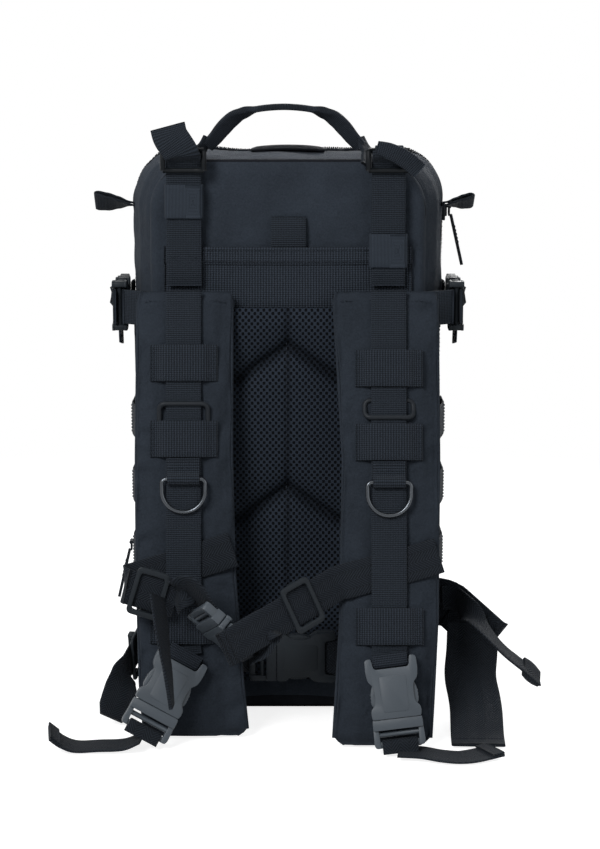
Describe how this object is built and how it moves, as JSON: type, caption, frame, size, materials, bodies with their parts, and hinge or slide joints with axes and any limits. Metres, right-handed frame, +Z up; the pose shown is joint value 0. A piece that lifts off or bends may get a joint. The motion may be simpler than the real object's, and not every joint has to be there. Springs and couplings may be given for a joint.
{
  "type": "trauma backpack",
  "caption": "Zip-round first responder backpack with ribbed air-mesh back panel, padded shoulder straps, sternum and waist straps, release buckles, grab handle and front pocket",
  "frame": {"origin": "middle of the pack's flat base, on the floor it stands on", "axes": "+Z up, -Y from the pack towards the wearer's back, +X to the right seen from the harness side"},
  "size_m": [0.3563, 0.3109, 0.448],
  "materials": {
    "shell_fabric": "heavy woven nylon, matt",
    "liner": "smooth coated lining",
    "sheet_plastic": "smooth sheet",
    "piping": "woven binding over cord",
    "mesh": "open knitted spacer mesh",
    "foam": "closed cell foam",
    "pad_fabric": "woven nylon over foam",
    "handle": "folded webbing",
    "webbing": "ribbed nylon webbing",
    "buckle": "satin acetal",
    "zipper_tape": "coated tape",
    "slider": "satin lacquer",
    "pull": "moulded pull",
    "ring": "dark semi-gloss"
  },
  "bodies": {
    "pack": {"rear_shell": "shell_fabric", "lower_front_shell": "shell_fabric", "edge_piping": "piping", "frame_sheet": "sheet_plastic", "inner_sleeve": "liner", "air_mesh_cover": "mesh", "back_foam_pads": "foam", "upper_band": "shell_fabric", "hose_port": "shell_fabric", "sewn_loops": "webbing", "zipper_tape_rear": "zipper_tape", "side_webbing": "webbing", "side_buckle_receiver_left": "buckle", "side_buckle_receiver_right": "buckle", "lifter_webbing": "webbing", "lock_anchors": "webbing", "waist_webbing": "webbing", "waist_triglides": "buckle", "waist_buckle_receiver": "buckle", "corner_wings": "webbing"},
    "front_section": {"front_shell": "shell_fabric", "zipper_tape_front": "zipper_tape", "front_pocket": "shell_fabric", "front_webbing": "webbing"},
    "pocket_lid": {"pocket_lid": "shell_fabric"},
    "left_strap": {"shoulder_pad_left": "pad_fabric", "strap_webbing_left": "webbing", "cross_loops_left": "webbing", "strap_buckle_receiver_left": "buckle", "sternum_webbing_left": "webbing"},
    "right_strap": {"shoulder_pad_right": "pad_fabric", "strap_webbing_right": "webbing", "cross_loops_right": "webbing", "strap_buckle_receiver_right": "buckle", "sternum_webbing_right": "webbing", "sternum_buckle_receiver": "buckle"},
    "left_adjuster": {"strap_buckle_plug_left": "buckle", "adjuster_webbing_left": "webbing"},
    "right_adjuster": {"strap_buckle_plug_right": "buckle", "adjuster_webbing_right": "webbing"},
    "sternum_plug": {"sternum_buckle_plug": "buckle"},
    "waist_plug": {"waist_buckle_plug": "buckle"},
    "side_plug_left": {"side_buckle_plug_left": "buckle"},
    "side_plug_right": {"side_buckle_plug_right": "buckle"},
    "left_d_ring": {"d_ring_left": "ring"},
    "right_d_ring": {"d_ring_right": "ring"},
    "left_web_ring": {"web_ring_left": "ring"},
    "right_web_ring": {"web_ring_right": "ring"},
    "left_lock": {"ladder_lock_left": "buckle"},
    "right_lock": {"ladder_lock_right": "buckle"},
    "left_keeper": {"lifter_keeper_left": "buckle"},
    "right_keeper": {"lifter_keeper_right": "buckle"},
    "handle": {"grab_handle": "handle"},
    "left_slider": {"main_slider_left": "slider"},
    "right_slider": {"main_slider_right": "slider"},
    "left_pull": {"main_pull_left": "pull"},
    "right_pull": {"main_pull_right": "pull"},
    "left_triglide": {"sternum_triglide_left": "buckle"},
    "right_triglide": {"sternum_triglide_right": "buckle"}
  },
  "joints": [
    {"name": "strap_left_swing", "type": "hinge", "parent": "pack", "child": "left_strap", "pos_m": [0, -0.0807, 0.316], "axis": [-1, 0, 0], "range_deg": [0, 40]},
    {"name": "strap_right_swing", "type": "hinge", "parent": "pack", "child": "right_strap", "pos_m": [0, -0.0807, 0.316], "axis": [-1, 0, 0], "range_deg": [0, 40]},
    {"name": "front_open", "type": "hinge", "parent": "pack", "child": "front_section", "pos_m": [0, 0.075, 0.072], "axis": [-1, 0, 0], "range_deg": [0, 90]},
    {"name": "lid_open", "type": "hinge", "parent": "front_section", "child": "pocket_lid", "pos_m": [0, 0.0776, 0.3213], "axis": [1, 0, 0], "range_deg": [0, 90]},
    {"name": "handle_fold", "type": "hinge", "parent": "pack", "child": "handle", "pos_m": [0, -0.065, 0.423], "axis": [-1, 0, 0], "range_deg": [0, 60]},
    {"name": "strap_buckle_left_release", "type": "slide", "parent": "left_strap", "child": "left_adjuster", "axis": [-0.47, -0.3, -0.8301], "range_m": [0, 0.028]},
    {"name": "strap_buckle_right_release", "type": "slide", "parent": "right_strap", "child": "right_adjuster", "axis": [0.1209, -0.262, -0.9574], "range_m": [0, 0.028]},
    {"name": "waist_buckle_release", "type": "slide", "parent": "pack", "child": "waist_plug", "axis": [-1, 0, 0], "range_m": [0, 0.028]},
    {"name": "sternum_buckle_release", "type": "slide", "parent": "right_strap", "child": "sternum_plug", "axis": [-0.7461, 0.0202, 0.6655], "range_m": [0, 0.005]},
    {"name": "side_buckle_left_release", "type": "slide", "parent": "pack", "child": "side_plug_left", "axis": [0, 1, 0], "range_m": [0, 0.028]},
    {"name": "side_buckle_right_release", "type": "slide", "parent": "pack", "child": "side_plug_right", "axis": [0, 1, 0], "range_m": [0, 0.028]},
    {"name": "d_ring_left_swing", "type": "hinge", "parent": "left_strap", "child": "left_d_ring", "pos_m": [-0.074, -0.1227, 0.18677], "axis": [-1, 0, 0], "range_deg": [0, 70]},
    {"name": "d_ring_right_swing", "type": "hinge", "parent": "right_strap", "child": "right_d_ring", "pos_m": [0.0715, -0.128, 0.18549], "axis": [-1, 0, 0], "range_deg": [0, 70]},
    {"name": "main_slider_left_run", "type": "slide", "parent": "pack", "child": "left_slider", "axis": [0, 0, 1], "range_m": [0, 0.262]},
    {"name": "main_slider_right_run", "type": "slide", "parent": "pack", "child": "right_slider", "axis": [0, 0, -1], "range_m": [0, 0.27]},
    {"name": "main_pull_left_swing", "type": "hinge", "parent": "left_slider", "child": "left_pull", "pos_m": [-0.1227, 0.025, 0.107], "axis": [0, 1, 0], "range_deg": [0, 110]},
    {"name": "main_pull_right_swing", "type": "hinge", "parent": "right_slider", "child": "right_pull", "pos_m": [0.1227, 0.025, 0.369], "axis": [0, -1, 0], "range_deg": [0, 110]},
    {"name": "ladder_lock_left_tilt", "type": "hinge", "parent": "pack", "child": "left_lock", "pos_m": [-0.074, -0.08555, 0.416], "axis": [-1, 0, 0], "range_deg": [0, 20]},
    {"name": "ladder_lock_right_tilt", "type": "hinge", "parent": "pack", "child": "right_lock", "pos_m": [0.0715, -0.08555, 0.416], "axis": [-1, 0, 0], "range_deg": [0, 20]},
    {"name": "keeper_left_slide", "type": "slide", "parent": "pack", "child": "left_keeper", "axis": [0, 0, 1], "range_m": [-0.03, 0.005]},
    {"name": "keeper_right_slide", "type": "slide", "parent": "pack", "child": "right_keeper", "axis": [0, 0, 1], "range_m": [-0.008, 0.035]},
    {"name": "sternum_triglide_left_slide", "type": "slide", "parent": "left_strap", "child": "left_triglide", "axis": [0.9564, 0, -0.2921], "range_m": [-0.0015, 0.0015]},
    {"name": "sternum_triglide_right_slide", "type": "slide", "parent": "right_strap", "child": "right_triglide", "axis": [-0.8026, -0.4755, -0.3601], "range_m": [-0.002, 0.012]},
    {"name": "web_ring_left_slide", "type": "slide", "parent": "left_strap", "child": "left_web_ring", "axis": [0, 0.1752, 0.9845], "range_m": [0, 0.006]},
    {"name": "web_ring_right_slide", "type": "slide", "parent": "right_strap", "child": "right_web_ring", "axis": [0, 0.219, 0.9757], "range_m": [0, 0.006]}
  ],
  "couplings": [
    {"joint": "strap_right_swing", "follows": "strap_left_swing", "ratio": 1}
  ]
}
